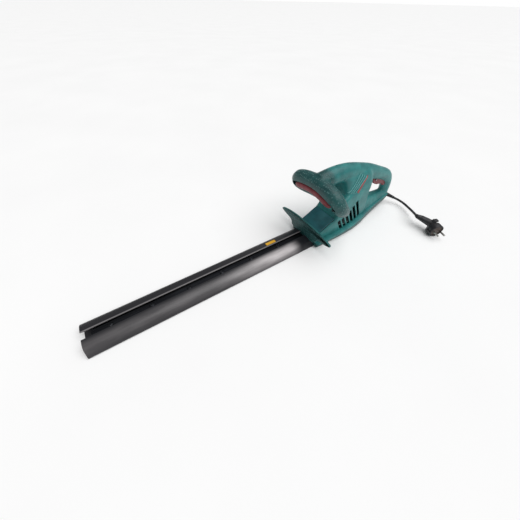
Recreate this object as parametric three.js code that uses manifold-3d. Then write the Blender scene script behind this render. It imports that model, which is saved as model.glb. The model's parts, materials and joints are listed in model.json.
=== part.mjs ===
// Electric hedge trimmer with a scabbard over its blades, as separate named pieces.
// Millimetres, +X towards the blade tip, +Y to the tool's left, +Z up, floor at Z = 0.
import * as THREE from 'three';
import { mergeVertices } from 'three/addons/utils/BufferGeometryUtils.js';
import Module from 'manifold-3d';

const wasm = await Module();
wasm.setup();

// ---------------------------------------------------------------- driving dimensions
const GAP = 0.3;                 // between neighbouring pieces
const WALL = 2.6;                // moulded casing wall
const TIP_X = 452;               // open end of the scabbard
const REAR_X = -432;             // nose of the base, where the cord leaves
const MIDDLE_X = (TIP_X + REAR_X) / 2;

const BOLT_PITCH = 80;
const BOLT_COUNT = 6;
const FIRST_BOLT_X = 402.5;
const TOOTH_PITCH = BOLT_PITCH / 3;
const TOOTH_COUNT = 18;
const TOOTH_TIP_Y = 28.5;
const BLADE_ROOT_Y = 13;
const BLADE_THICK = 2;
const LOWER_BLADE_Z = 8.2;
const UPPER_BLADE_Z = LOWER_BLADE_Z + BLADE_THICK + GAP;
const GUIDE_Z = UPPER_BLADE_Z + BLADE_THICK + GAP;
const GUIDE_TOP_Z = GUIDE_Z + 2;
const BLADE_FRONT_X = 436;
const BLADE_REAR_X = -66;        // first tooth edge in front of the guard
const STROKE = 6.5;              // each blade moves this far either way

const CAM_X = -162;
const CAM_R = 8.5;
const GEAR_TEETH = 56;
const PINION_TEETH = 8;
const MODULE = 1.25;
const MOTOR_X = CAM_X - MODULE * (GEAR_TEETH + PINION_TEETH) / 2;
const GEAR_Z = 19;
const GEAR_THICK = 7;
const FRAME_Z = 27;              // underside of the gear frame
const FRAME_THICK = 3.4;

const SHEATH_REAR_X = -88;
const SHEATH_WALL = 2;
const SHEATH_TOP = 20.8;
const SLOT_HALF = 8;

const GUARD_FRONT_X = -80;
const GUARD_THICK = 4;
const CASE_FRONT_X = -90;
const FLANGE = 2.6;              // thickness of the casing's foot flange

const CORD_R = 3.25;
const SLEEVE_DIR = new THREE.Vector3(-0.5, 0.83, -0.24).normalize();
const CORD_EXIT = new THREE.Vector3(-443, 26, 19.5);
const SLEEVE_LENGTH = 30;
const PLUG_AZIMUTH = 65;         // degrees, the way the contact face looks
const PLUG_R = 18.5;
const PLUG_FACE = new THREE.Vector3(-403, 192, PLUG_R - 0.3);

const BASE_PILLARS = [[-112, 29], [-112, -29], [-208, 32.5], [-208, -32.5]];
const SCREW_PLACES = [[-128, 165], [-264, 148], [-395, 82], [-312, 42]];

// ---------------------------------------------------------------- materials
const finish = (color, roughness, metalness = 0) =>
  new THREE.MeshStandardMaterial({ color, roughness, metalness });
const GREEN = 0x2f6f6a;
const RED = 0x8a2f36;
const BLACK = 0x26262a;
const STEEL = 0xa9abad;
const COPPER = 0xb56a3c;
const BRASS = 0xb9974f;
const ALLOY = 0xb8babc;
const CREAM = 0xd9c9a0;
const GREY = 0x6c6e70;

// ---------------------------------------------------------------- geometry helpers
const group = new THREE.Group();

function closedGeometry(points, triangles) {
  const geometry = new THREE.BufferGeometry();
  const flat = points.flatMap((p) => [p.x, p.y, p.z]);
  geometry.setAttribute('position', new THREE.Float32BufferAttribute(flat, 3));
  let volume = 0;
  for (const [a, b, c] of triangles) {
    volume += points[a].dot(points[b].clone().cross(points[c]));
  }
  const outward = volume > 0 ? triangles : triangles.map(([a, b, c]) => [a, c, b]);
  geometry.setIndex(outward.flat());
  return geometry;
}

// Skins rings of equal point counts, one after the other, and closes both ends.
function loft(rings) {
  const count = rings[0].length;
  const points = rings.flat();
  const triangles = [];
  for (let r = 0; r + 1 < rings.length; r += 1) {
    for (let i = 0; i < count; i += 1) {
      const j = (i + 1) % count;
      const a = r * count + i;
      const b = r * count + j;
      triangles.push([a, b, a + count], [b, b + count, a + count]);
    }
  }
  for (const [ring, start, turn] of [[rings[0], 0, false], [rings.at(-1), points.length - count, true]]) {
    const centre = new THREE.Vector3();
    ring.forEach((p) => centre.addScaledVector(p, 1 / count));
    points.push(centre);
    for (let i = 0; i < count; i += 1) {
      const a = start + i;
      const b = start + (i + 1) % count;
      triangles.push(turn ? [a, b, points.length - 1] : [b, a, points.length - 1]);
    }
  }
  return closedGeometry(points, triangles);
}

function solid(geometry) {
  const bare = geometry.clone();
  bare.deleteAttribute('normal');
  bare.deleteAttribute('uv');
  const merged = mergeVertices(bare, 1e-4);
  return new wasm.Manifold(new wasm.Mesh({
    numProp: 3,
    vertProperties: new Float32Array(merged.attributes.position.array),
    triVerts: new Uint32Array(merged.index.array),
  }));
}

function geometryOf(manifold) {
  const mesh = manifold.getMesh();
  const geometry = new THREE.BufferGeometry();
  geometry.setAttribute('position', new THREE.Float32BufferAttribute(mesh.vertProperties, 3));
  geometry.setIndex(Array.from(mesh.triVerts));
  return geometry;
}

const union = (parts) => parts.reduce((whole, part) => whole.add(part));
const largest = (body) => body.decompose().reduce((best, part) => (part.volume() > best.volume() ? part : best));
const cutAll = (body, tools) => tools.reduce((left, tool) => left.subtract(tool), body);

function place(name, shape, color, roughness, metalness) {
  const geometry = shape.isBufferGeometry ? shape : geometryOf(shape);
  const mesh = new THREE.Mesh(geometry, finish(color, roughness, metalness));
  mesh.name = name;
  group.add(mesh);
  return mesh;
}

function box(x0, x1, y0, y1, z0, z1) {
  const geometry = new THREE.BoxGeometry(x1 - x0, y1 - y0, z1 - z0);
  return geometry.translate((x0 + x1) / 2, (y0 + y1) / 2, (z0 + z1) / 2);
}

// Cylinder from one point to another, with an end radius if it tapers.
function rod(from, to, radius, segments = 20, endRadius = radius) {
  const start = new THREE.Vector3(...from);
  const along = new THREE.Vector3(...to).sub(start);
  const geometry = new THREE.CylinderGeometry(endRadius, radius, along.length(), segments);
  geometry.translate(0, along.length() / 2, 0);
  const turn = new THREE.Quaternion().setFromUnitVectors(new THREE.Vector3(0, 1, 0), along.normalize());
  return geometry.applyQuaternion(turn).translate(start.x, start.y, start.z);
}

const shapeOf = (points) => new THREE.Shape(points.map(([u, v]) => new THREE.Vector2(u, v)));
const prism = (shape, depth, curveSegments = 6) =>
  new THREE.ExtrudeGeometry(shape, { depth, bevelEnabled: false, curveSegments });

// Outline in (y, z), pushed along X.
function prismX(shape, x0, x1, curveSegments) {
  const turn = new THREE.Matrix4().makeBasis(
    new THREE.Vector3(0, 1, 0), new THREE.Vector3(0, 0, 1), new THREE.Vector3(1, 0, 0));
  return prism(shape, x1 - x0, curveSegments).applyMatrix4(turn).translate(x0, 0, 0);
}

// Outline in (x, z), pushed along Y.
function prismY(shape, y0, y1, curveSegments) {
  const turn = new THREE.Matrix4().makeBasis(
    new THREE.Vector3(1, 0, 0), new THREE.Vector3(0, 0, 1), new THREE.Vector3(0, -1, 0));
  return prism(shape, y1 - y0, curveSegments).applyMatrix4(turn).translate(0, y1, 0);
}

// Outline in (x, y), pushed along Z.
const prismZ = (shape, z0, z1, curveSegments) => prism(shape, z1 - z0, curveSegments).translate(0, 0, z0);

// Oval section swept along a curve; side is the section's sideways direction.
function sweep(curve, steps, segments, side, half, from = 0, to = 1) {
  const rings = [];
  for (let s = 0; s <= steps; s += 1) {
    const t = from + (to - from) * s / steps;
    const centre = curve.getPointAt(t);
    const tangent = curve.getTangentAt(t);
    const across = side(t, tangent).clone();
    across.addScaledVector(tangent, -across.dot(tangent)).normalize();
    const up = tangent.clone().cross(across);
    const [a, b] = half(t);
    const ring = [];
    for (let i = 0; i < segments; i += 1) {
      const angle = 2 * Math.PI * i / segments;
      ring.push(centre.clone()
        .addScaledVector(across, a * Math.cos(angle))
        .addScaledVector(up, b * Math.sin(angle)));
    }
    rings.push(ring);
  }
  return loft(rings);
}

const curveThrough = (points) =>
  new THREE.CatmullRomCurve3(points.map((p) => new THREE.Vector3(...p)), false, 'centripetal');

// ---------------------------------------------------------------- scabbard
// Half outline from the slot round to the bottom's middle; inset gives the inner face.
function sheathHalf(side, inset) {
  const slope = inset * 1.3;
  return [
    [side * SLOT_HALF, SHEATH_TOP - inset], [side * (21 - inset), 20.1 - inset], [side * (28.5 - slope), 17.3 - inset * 0.5],
    [side * (40 - slope), 3.6 + inset * 0.3], [side * (39.6 - slope), 1 + inset * 0.9], [side * (37.4 - inset), inset],
  ];
}
function sheathOutline() {
  const outer = [...sheathHalf(1, 0), ...sheathHalf(-1, 0).reverse()];
  const inner = [...sheathHalf(-1, SHEATH_WALL), ...sheathHalf(1, SHEATH_WALL).reverse()];
  return shapeOf([...outer, ...inner]);
}
place('sheath', prismX(sheathOutline(), SHEATH_REAR_X, TIP_X), BLACK, 0.45);

// Plain colour patch on the far lip, tilted with the lip.
const patch = new THREE.BoxGeometry(28, 8.5, 0.5);
patch.rotateX(THREE.MathUtils.degToRad(3.1)).translate(14, -15.5, SHEATH_TOP + 0.25);
place('sheath_patch', patch, 0xd8a024, 0.5);

// ---------------------------------------------------------------- cutting blades
function slotHole(x, halfLength, radius) {
  const hole = new THREE.Path();
  hole.absarc(x + halfLength, 0, radius, -Math.PI / 2, Math.PI / 2, false);
  hole.absarc(x - halfLength, 0, radius, Math.PI / 2, 3 * Math.PI / 2, false);
  return hole;
}

const boltX = (index) => FIRST_BOLT_X - BOLT_PITCH * index;
const YOKE_HALF_X = CAM_R + 2 * STROKE + 0.8;
const YOKE_HALF_Y = CAM_R + STROKE + 0.8;

function bladeShape() {
  const tailY = 11;
  const yokeX = YOKE_HALF_X + 6;
  const yokeY = YOKE_HALF_Y + 6;
  const upper = [];
  for (let i = 0; i < TOOTH_COUNT; i += 1) {
    const x = BLADE_REAR_X + 10 + TOOTH_PITCH * i;
    upper.push([x, BLADE_ROOT_Y], [x + 2.5, TOOTH_TIP_Y], [x + 9.5, TOOTH_TIP_Y], [x + 12.5, BLADE_ROOT_Y]);
  }
  upper.push([BLADE_FRONT_X - 6, BLADE_ROOT_Y], [BLADE_FRONT_X, BLADE_ROOT_Y - 6]);
  const rear = [[BLADE_REAR_X, tailY], [CAM_X + yokeX, tailY], [CAM_X + yokeX, yokeY], [CAM_X - yokeX, yokeY]];
  const half = [...rear.reverse(), ...upper];
  const mirrored = half.map(([x, y]) => [x, -y]).reverse();
  const shape = shapeOf([...half, ...mirrored]);
  for (let i = 0; i < BOLT_COUNT; i += 1) {
    shape.holes.push(slotHole(boltX(i), STROKE + 0.6, 3.4));
  }
  return shape;
}
function blade(z) {
  const window = box(CAM_X - YOKE_HALF_X, CAM_X + YOKE_HALF_X, -YOKE_HALF_Y, YOKE_HALF_Y, z - 1, z + 5);
  return solid(prismZ(bladeShape(), z, z + BLADE_THICK, 3)).subtract(solid(window));
}
place('lower_blade', blade(LOWER_BLADE_Z), STEEL, 0.3, 1);
place('upper_blade', blade(UPPER_BLADE_Z), STEEL, 0.3, 1);

const GUIDE_TAIL_Y = 23;
function guideShape() {
  const shape = shapeOf([
    [-118, -GUIDE_TAIL_Y], [-98, -GUIDE_TAIL_Y], [-92, -11], [BLADE_FRONT_X - 6, -11], [BLADE_FRONT_X, -5],
    [BLADE_FRONT_X, 5], [BLADE_FRONT_X - 6, 11], [-92, 11], [-98, GUIDE_TAIL_Y], [-118, GUIDE_TAIL_Y]]);
  for (let i = 0; i < BOLT_COUNT; i += 1) {
    const hole = new THREE.Path();
    hole.absarc(boltX(i), 0, 3.3, 0, 2 * Math.PI, false);
    shape.holes.push(hole);
  }
  return shape;
}
place('guide_bar', prismZ(guideShape(), GUIDE_Z, GUIDE_TOP_Z, 4), STEEL, 0.35, 1);

// Shouldered bolt: pan head above the guide bar, flat collar under the lower blade.
function bladeBolt() {
  const low = LOWER_BLADE_Z - GAP;
  const high = GUIDE_TOP_Z + GAP;
  const profile = [
    [0, low - 1.1], [6, low - 1.1], [6, low], [3, low], [3, high], [5, high], [5, high + 1.1],
    [3.6, high + 2.2], [0, high + 2.2]];
  return new THREE.LatheGeometry(profile.map(([r, z]) => new THREE.Vector2(r, z)), 10).rotateX(Math.PI / 2);
}
for (let i = 0; i < BOLT_COUNT; i += 1) {
  place(`blade_bolt_${i + 1}`, bladeBolt(), STEEL, 0.35, 1).position.x = boltX(i);
}

// Cradle that carries the guide bar's tail and lets the blades pass between its cheeks.
const cradle = solid(box(-116, -96, -23, 23, 3.4, GUIDE_Z - GAP))
  .subtract(solid(box(-120, -90, -13, 13, LOWER_BLADE_Z - 1, GUIDE_Z)));
place('blade_cradle', cradle, ALLOY, 0.5, 1);

// ---------------------------------------------------------------- hand guard
function guardShape() {
  const shape = new THREE.Shape();
  shape.moveTo(46, 21.4);
  shape.quadraticCurveTo(50, 35, 62, 36);
  shape.lineTo(91, 38);
  shape.quadraticCurveTo(96, 39, 96, 42);
  shape.quadraticCurveTo(95, 47, 85, 50);
  shape.quadraticCurveTo(50, 59, 0, 59);
  shape.quadraticCurveTo(-50, 59, -85, 50);
  shape.quadraticCurveTo(-95, 47, -96, 42);
  shape.quadraticCurveTo(-96, 39, -91, 38);
  shape.lineTo(-62, 36);
  shape.quadraticCurveTo(-50, 35, -46, 21.4);
  return shape;
}
function guardRim() {
  const shape = new THREE.Shape();
  shape.moveTo(94, 44);
  shape.quadraticCurveTo(93, 48, 85, 50);
  shape.quadraticCurveTo(50, 59, 0, 59);
  shape.quadraticCurveTo(-50, 59, -85, 50);
  shape.quadraticCurveTo(-93, 48, -94, 44);
  shape.lineTo(-84, 47);
  shape.quadraticCurveTo(-50, 56, 0, 56);
  shape.quadraticCurveTo(50, 56, 84, 47);
  return shape;
}
const guardFoot = box(CASE_FRONT_X + GAP, GUARD_FRONT_X - 1, -30, 30, 22, 30);
const guardPlate = solid(prismX(guardShape(), GUARD_FRONT_X - GUARD_THICK, GUARD_FRONT_X, 5))
  .add(solid(guardFoot))
  .add(solid(prismX(guardRim(), GUARD_FRONT_X - GUARD_THICK - 4, GUARD_FRONT_X - 1, 5)));
place('hand_guard', guardPlate, GREEN, 0.6);

// ---------------------------------------------------------------- base tray
// [x, half width at the ledge, half width at the bottom, bottom z, ledge z]
const TRAY_STATIONS = [
  [CASE_FRONT_X, 53, 48.5, 0, 14], [-120, 53.5, 49, 0, 15], [-165, 54.5, 49.5, 0, 17], [-230, 50.5, 47.5, 0, 21],
  [-270, 43, 41.5, 0.5, 25], [-318, 30.5, 29.5, 4, 29], [-363, 22, 20.5, 9, 33], [-398, 17, 15, 15, 35],
  [-418, 13, 11, 19, 35.5], [REAR_X, 8, 6.5, 22, 34.5],
];
// Row of values at x, straight between the stations on either side.
function stationAt(stations, x) {
  const next = stations.findIndex((row) => row[0] <= x);
  if (next <= 0) return next === 0 ? [...stations[0]] : [...stations.at(-1)];
  const [before, after] = [stations[next - 1], stations[next]];
  const share = (x - before[0]) / (after[0] - before[0]);
  return before.map((value, i) => value + (after[i] - value) * share);
}
function trayRing([x, top, bottom, low, ledge], inset) {
  const w = top - inset;
  const b = bottom - inset;
  const floor = low + inset;
  const high = ledge - FLANGE - GAP;
  const roof = inset > 0 ? high + 3 : high;
  const side = low + (high - low) * 0.7;
  const half = [[b - 2.5, floor], [b, floor + 2.5], [w - 0.8, Math.max(side, floor + 3)], [w, roof]];
  const mirrored = half.map(([y, z]) => [-y, z]).reverse();
  return [...half, ...mirrored].map(([y, z]) => new THREE.Vector3(x, y, z));
}
function trayCavityStations() {
  const inner = TRAY_STATIONS.slice(0, -1).map((row) => [...row]);
  inner[0][0] -= WALL;
  inner.at(-1)[0] += 2;
  return inner;
}
function makeBaseTray() {
  const outer = solid(loft(TRAY_STATIONS.map((row) => trayRing(row, 0))));
  const cavity = solid(loft(trayCavityStations().map((row) => trayRing(row, WALL))));
  let tray = outer.subtract(cavity);
  for (const [x, y] of BASE_PILLARS) {
    tray = tray.add(solid(rod([x, y, 1], [x, y, FRAME_Z - GAP], 4.6, 10)));
    tray = tray.subtract(solid(rod([x, y, -1], [x, y, FRAME_Z + 1], 1.9, 8)));
    tray = tray.subtract(solid(rod([x, y, -1], [x, y, 3], 4, 12)));
  }
  tray = tray.add(solid(rod([CAM_X, 0, 1], [CAM_X, 0, 7.3], 9.5, 18)));
  tray = tray.subtract(solid(rod([CAM_X, 0, 3], [CAM_X, 0, 9], 7.3, 18)));
  return tray.subtract(solid(box(-100, -80, -16, 16, LOWER_BLADE_Z - 2, 30)));
}

// ---------------------------------------------------------------- upper casing
// [x, roof half width, roof z, foot half width]
const ROOF_STATIONS = [
  [CASE_FRONT_X, 35, 31, 38.5], [-104, 36, 37, 39], [-152, 38, 61, 41.5], [-159, 38, 70, 41.8], [-169, 36, 102, 42],
  [-188, 34, 115, 42], [-235, 31, 119, 38], [-276, 27, 114, 32], [-288, 19, 66, 30.5], [-335, 13, 57, 24.5],
  [-370, 11.5, 55, 18.5], [-405, 11, 53.5, 13.5], [-424, 8, 46.5, 9.5],
];
const CASE_XS = [...new Set([...ROOF_STATIONS, ...TRAY_STATIONS].map((row) => row[0]))]
  .filter((x) => x >= ROOF_STATIONS.at(-1)[0]).sort((a, b) => b - a);

function caseRing(x, inset) {
  const [, roofY, roofZ, footY] = stationAt(ROOF_STATIONS, x);
  const [, rim, , , ledge] = stationAt(TRAY_STATIONS, x);
  const hollow = inset > 0;
  const foot = ledge - FLANGE - (hollow ? 2 : 0);
  const w = footY - inset;
  const r = roofY - inset;
  const z = roofZ - inset;
  const bend = Math.min(7, (roofZ - ledge) * 0.4);
  const half = [
    [hollow ? w : rim, foot], [hollow ? w : rim, ledge - 0.8], [hollow ? w : rim - 0.8, ledge], [w, ledge + 0.4],
    [w - 0.2, ledge + (roofZ - ledge) * 0.25], [r + 1.2, z - bend], [r - 1.5, z - bend * 0.35], [r - 6, z],
    [r * 0.4, z + 1.2]];
  if (hollow) half.splice(1, 2, [w, foot + 0.4], [w, ledge]);
  const mirrored = half.map(([y, zz]) => [-y, zz]).reverse();
  return [...half, ...mirrored].map(([y, zz]) => new THREE.Vector3(x, y, zz));
}

const SPINE_CURVE = curveThrough([
  [-98, 0, 163], [-120, 0, 166], [-150, 0, 168], [-190, 0, 165], [-244, 0, 152], [-300, 0, 134],
  [-345, 0, 117], [-376, 0, 102], [-393, 0, 83], [-400, 0, 60], [-402, 0, 44]]);
const BAIL_HALF = [[-160, 41, 84], [-143, 55, 100], [-122, 66, 118], [-105, 69, 136], [-98, 62, 149], [-97, 46, 156],
  [-98, 24, 160]];
const BAIL_CURVE = curveThrough([
  ...BAIL_HALF, [-98, 0, 162], ...BAIL_HALF.map(([x, y, z]) => [x, -y, z]).reverse()]);
const SIDEWAYS = new THREE.Vector3(0, 1, 0);
const FORE_DOWN = new THREE.Vector3(0.5, 0, -0.87);     // the way the switch bar faces

const spineHalf = (inset) => (t) => {
  const wide = t < 0.4 ? 21 - 6 * t : 18.6 - 4 * (t - 0.4);
  const tall = t < 0.5 ? 21.5 : 21.5 - 4 * (t - 0.5);
  return [wide - inset, tall - inset];
};
const bailHalf = (inset) => (t) => {
  const middle = Math.cos(Math.PI * (t - 0.5));
  return [15.5 + 3 * middle - inset, 16 + 2 * middle - inset];
};
// Column between the motor casing and the spine: [z, front x, rear x, half width]
const COLUMN_STATIONS = [[98, -186, -281, 31], [125, -184, -281, 28], [146, -172, -276, 24], [164, -160, -262, 19]];
function columnRing([z, front, rear, halfWidth], inset) {
  const middle = (front + rear) / 2;
  const reach = (front - rear) / 2 - inset;
  const ring = [];
  for (let i = 0; i < 12; i += 1) {
    const angle = 2 * Math.PI * i / 12;
    const c = Math.cos(angle);
    const s = Math.sin(angle);
    ring.push(new THREE.Vector3(
      middle + reach * Math.sign(c) * Math.abs(c) ** 0.5, (halfWidth - inset) * Math.sign(s) * Math.abs(s) ** 0.6, z));
  }
  return ring;
}

function casingBody(inset) {
  const trim = inset > 0 ? 0.02 : 0;
  const inside = (x) => Math.min(CASE_FRONT_X - inset, Math.max(ROOF_STATIONS.at(-1)[0] + inset, x));
  return union([
    solid(loft([...new Set(CASE_XS.map(inside))].map((x) => caseRing(x, inset)))),
    solid(loft(COLUMN_STATIONS.map((row) => columnRing(row, inset)))),
    solid(sweep(SPINE_CURVE, 13, 12, () => SIDEWAYS, spineHalf(inset), trim, 1 - trim)),
    solid(sweep(BAIL_CURVE, 18, 10, () => FORE_DOWN, bailHalf(inset), trim, 1 - trim)),
  ]);
}

function ventSlots() {
  const slots = [];
  for (let i = 0; i < 6; i += 1) {
    const height = 26 + 6.5 * i;
    const slot = new THREE.BoxGeometry(5.5, 140, height);
    slot.rotateY(THREE.MathUtils.degToRad(30));
    slots.push(solid(slot.translate(-158 - 12.5 * i, 0, 48 + 4.4 * i)));
  }
  return slots;
}

// Finger bar under the front handle, and the groove that it moves in.
const BAR_REST_DEPTH = 13;
const BAR_END = 0.245;           // share of the handle's length left free at each end
const GROOVE_END = 0.205;
function barCurve(depth, end) {
  const points = [];
  for (let i = 0; i <= 16; i += 1) {
    const p = BAIL_CURVE.getPointAt(end + (1 - 2 * end) * i / 16);
    points.push(p.addScaledVector(FORE_DOWN, depth));
  }
  return new THREE.CatmullRomCurve3(points, false, 'centripetal');
}
const barSweep = (depth, end, high, wide) =>
  sweep(barCurve(depth, end), 14, 10, () => FORE_DOWN, () => [high, wide]);

// Rear trigger, seen from the side: [x, z].
const TRIGGER_PIVOT = [-318, 111];
function triggerShape(grow) {
  const shape = new THREE.Shape();
  shape.moveTo(-309 + grow, 113 + grow);
  shape.lineTo(-312 + grow, 106 - grow);
  shape.quadraticCurveTo(-334, 91 - grow, -348, 88 - grow);
  shape.quadraticCurveTo(-365, 84 - grow, -376 - grow, 76 - grow);
  shape.lineTo(-381 - grow, 84);
  shape.lineTo(-371, 100 + grow);
  shape.lineTo(-345, 110 + grow);
  shape.lineTo(-322, 120 + grow);
  return shape;
}
function triggerPocket() {
  const swept = [0, 4, 8.5].map((angle) => {
    const copy = prismY(triggerShape(0.6), -9, 9, 4);
    copy.translate(-TRIGGER_PIVOT[0], 0, -TRIGGER_PIVOT[1]);
    copy.rotateY(THREE.MathUtils.degToRad(angle));
    return solid(copy.translate(TRIGGER_PIVOT[0], 0, TRIGGER_PIVOT[1]));
  });
  return union(swept);
}

function makeCasings() {
  const outer = casingBody(0);
  const inner = casingBody(WALL);
  let shell = outer.subtract(inner);
  const bosses = union(SCREW_PLACES.map(([x, z]) => solid(rod([x, -60, z], [x, 60, z], 5.2, 14))));
  shell = shell.add(bosses.intersect(outer));
  const pivotBoss = solid(rod([TRIGGER_PIVOT[0], -40, TRIGGER_PIVOT[1]], [TRIGGER_PIVOT[0], 40, TRIGGER_PIVOT[1]], 6, 14));
  shell = shell.add(pivotBoss.intersect(outer));
  const tools = SCREW_PLACES.flatMap(([x, z]) => [
    solid(rod([x, -60, z], [x, 9.5, z], 2.1, 10)), solid(rod([x, -60, z], [x, -9, z], 3.8, 14))]);
  tools.push(...ventSlots());
  tools.push(triggerPocket());
  tools.push(solid(rod([TRIGGER_PIVOT[0], -12.5, TRIGGER_PIVOT[1]], [TRIGGER_PIVOT[0], 12.5, TRIGGER_PIVOT[1]], 2.4, 12)));
  tools.push(solid(barSweep(BAR_REST_DEPTH - 1, GROOVE_END, 11, 10.4)));
  tools.push(deckOpening());
  tools.push(solid(box(-100, -80, -16, 16, 0, GUIDE_TOP_Z + 1.5)));
  shell = cutAll(shell, tools);
  const left = shell.intersect(solid(box(-500, 0, GAP / 2, 200, 0, 300)));
  const right = shell.intersect(solid(box(-500, 0, -200, -GAP / 2, 0, 300)));
  return [left, right].map((half) => largest(half.simplify(0.02)));
}

// ---------------------------------------------------------------- front deck
function deckShape(grow) {
  return shapeOf([
    [CASE_FRONT_X + 2, 29 - grow], [CASE_FRONT_X + 2, 33 + grow * 40], [-104, 38.5 + grow * 40],
    [-151 - grow, 62.5 + grow * 40], [-151 - grow, 56.5 - grow], [-104, 32 - grow]]);
}
function deckOpening() {
  return solid(prismY(deckShape(0.35), -34.4, 34.4));
}
const deck = solid(prismY(shapeOf([
  [CASE_FRONT_X, 29.6], [CASE_FRONT_X, 33.4], [-104, 38.4], [-150.8, 62.2], [-150.8, 59], [-104, 35], [-94, 31.5],
]), -34, 34));

// ---------------------------------------------------------------- outer pieces
const sleeveRoot = CORD_EXIT.clone().addScaledVector(SLEEVE_DIR, -SLEEVE_LENGTH);
const sleeveAt = (distance) => sleeveRoot.clone().addScaledVector(SLEEVE_DIR, distance).toArray();
const sleeveHole = solid(rod(sleeveAt(-0.4), sleeveAt(SLEEVE_LENGTH + 10), 6, 14));

place('base_tray', makeBaseTray().subtract(sleeveHole), GREEN, 0.6);
const [caseLeft, caseRight] = makeCasings();
place('housing_left', caseLeft, GREEN, 0.6);
place('housing_right', caseRight, GREEN, 0.6);
place('deck_cover', deck, 0x2c6770, 0.55);

place('switch_bar', barSweep(BAR_REST_DEPTH, BAR_END, 5.6, 8.4), RED, 0.5);

const pivotRod = (radius, halfLength) => rod(
  [TRIGGER_PIVOT[0], -halfLength, TRIGGER_PIVOT[1]], [TRIGGER_PIVOT[0], halfLength, TRIGGER_PIVOT[1]], radius, 12);
place('trigger', solid(prismY(triggerShape(0), -8.2, 8.2, 4)).subtract(solid(pivotRod(2.35, 10))), RED, 0.5);
place('trigger_pin', pivotRod(2, 12), STEEL, 0.35, 1);

// ---------------------------------------------------------------- gear train
function gearShape(teeth, turn) {
  const pitch = MODULE * teeth / 2;
  const tip = pitch + MODULE * 0.78;
  const root = pitch - MODULE * 1.15;
  const step = 2 * Math.PI / teeth;
  const points = [];
  for (let i = 0; i < teeth; i += 1) {
    const middle = turn + step * i;
    for (const [radius, share] of [[root, -0.3], [tip, -0.115], [tip, 0.115], [root, 0.3]]) {
      points.push([radius * Math.cos(middle + share * step), radius * Math.sin(middle + share * step)]);
    }
  }
  return shapeOf(points);
}
const camAt = (z0, z1, radius, offset, segments = 20) => solid(rod([0, offset, z0], [0, offset, z1], radius, segments));
const wheel = solid(prismZ(gearShape(GEAR_TEETH, 0), GEAR_Z, GEAR_Z + GEAR_THICK - 1))
  .subtract(camAt(GEAR_Z - 1, GEAR_Z + GEAR_THICK, 5.2, 0, 16));
place('drive_gear', wheel, CREAM, 0.6).position.x = CAM_X;
const camShaft = union([
  camAt(4, FRAME_Z + 6, 4.9, 0, 16),
  camAt(LOWER_BLADE_Z - 0.4, UPPER_BLADE_Z - GAP / 2, CAM_R, -STROKE),
  camAt(UPPER_BLADE_Z - GAP / 2, GUIDE_Z + 0.3, CAM_R, STROKE),
]);
place('cam_shaft', camShaft, STEEL, 0.3, 1).position.x = CAM_X;

const bush = (x, z0, z1, outer, bore) => solid(rod([x, 0, z0], [x, 0, z1], outer, 18))
  .subtract(solid(rod([x, 0, z0 - 1], [x, 0, z1 + 1], bore, 16)));
place('cam_bush_lower', bush(CAM_X, 3.3, 7.4, 7, 5), BRASS, 0.4, 1);
place('cam_bush_upper', bush(CAM_X, FRAME_Z - 0.8, FRAME_Z + 5, 7.5, 5), BRASS, 0.4, 1);

// Alloy frame over the gear: carries the cam shaft's top bush and the motor's lower bearing.
const MOTOR_LOW_Z = FRAME_Z + FRAME_THICK + GAP;
function frameShape() {
  return shapeOf([[-106, -32], [-106, 32], [-150, 30], [-202, 37], [-214, 36], [-224, 20], [-224, -20],
    [-214, -36], [-202, -37], [-150, -30]]);
}
const frameTools = [
  rod([CAM_X, 0, 20], [CAM_X, 0, 50], 7.8, 18), rod([MOTOR_X, 0, 20], [MOTOR_X, 0, 50], 9.3, 18),
  ...BASE_PILLARS.map(([x, y]) => rod([x, y, 20], [x, y, 50], 1.5, 10)),
].map(solid);
place('gear_frame', cutAll(solid(prismZ(frameShape(), FRAME_Z, FRAME_Z + FRAME_THICK)), frameTools), ALLOY, 0.5, 1);
BASE_PILLARS.forEach(([x, y], index) => {
  const screw = solid(rod([0, 0, 0.7], [0, 0, 2.7], 3.6, 14)).add(solid(rod([0, 0, 2], [0, 0, FRAME_Z + 2.6], 1.3, 10)));
  place(`base_screw_${index + 1}`, screw, STEEL, 0.35, 1).position.set(x, y, 0);
});

// ---------------------------------------------------------------- motor, upright behind the gear
const ARMATURE_TOP_Z = 147;
const atMotor = (z0, z1, radius, segments = 18, end = radius) =>
  solid(rod([0, 0, z0], [0, 0, z1], radius, segments, end));
const pinion = solid(prismZ(gearShape(PINION_TEETH, Math.PI / PINION_TEETH), GEAR_Z - 1, GEAR_Z + GEAR_THICK));
const armature = union([
  atMotor(GEAR_Z - 2, ARMATURE_TOP_Z, 4, 14), pinion, atMotor(62, 104, 14.5), atMotor(56, 62, 9, 18, 13),
  atMotor(104, 110, 13, 18, 9), atMotor(113, 127, 9.5),
]);
place('armature', armature, COPPER, 0.45, 1).position.x = MOTOR_X;

function makeFan() {
  const vanes = [];
  for (let i = 0; i < 10; i += 1) {
    const vane = new THREE.BoxGeometry(16, 1.6, 11);
    vane.translate(16.5, 0, 47.5).rotateZ(2 * Math.PI * i / 10);
    vanes.push(solid(vane));
  }
  return union([atMotor(41, 53, 8, 14), atMotor(41, 43, 24.6, 18), ...vanes]).subtract(atMotor(40, 60, 4.15, 14));
}
place('cooling_fan', makeFan(), BLACK, 0.5).position.x = MOTOR_X;
const field = union([atMotor(64, 100, 22.5, 22), solid(box(-14, 14, -19, 19, 58, 106))])
  .subtract(atMotor(50, 120, 15.6, 22));
place('motor_field', field, GREY, 0.5, 1).position.x = MOTOR_X;
place('motor_bearing_lower', bush(0, FRAME_Z - 0.5, FRAME_Z + 6, 9, 4.15), STEEL, 0.35, 1).position.x = MOTOR_X;
place('motor_bearing_upper', bush(0, 134, 142, 9, 4.15), STEEL, 0.35, 1).position.x = MOTOR_X;
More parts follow.
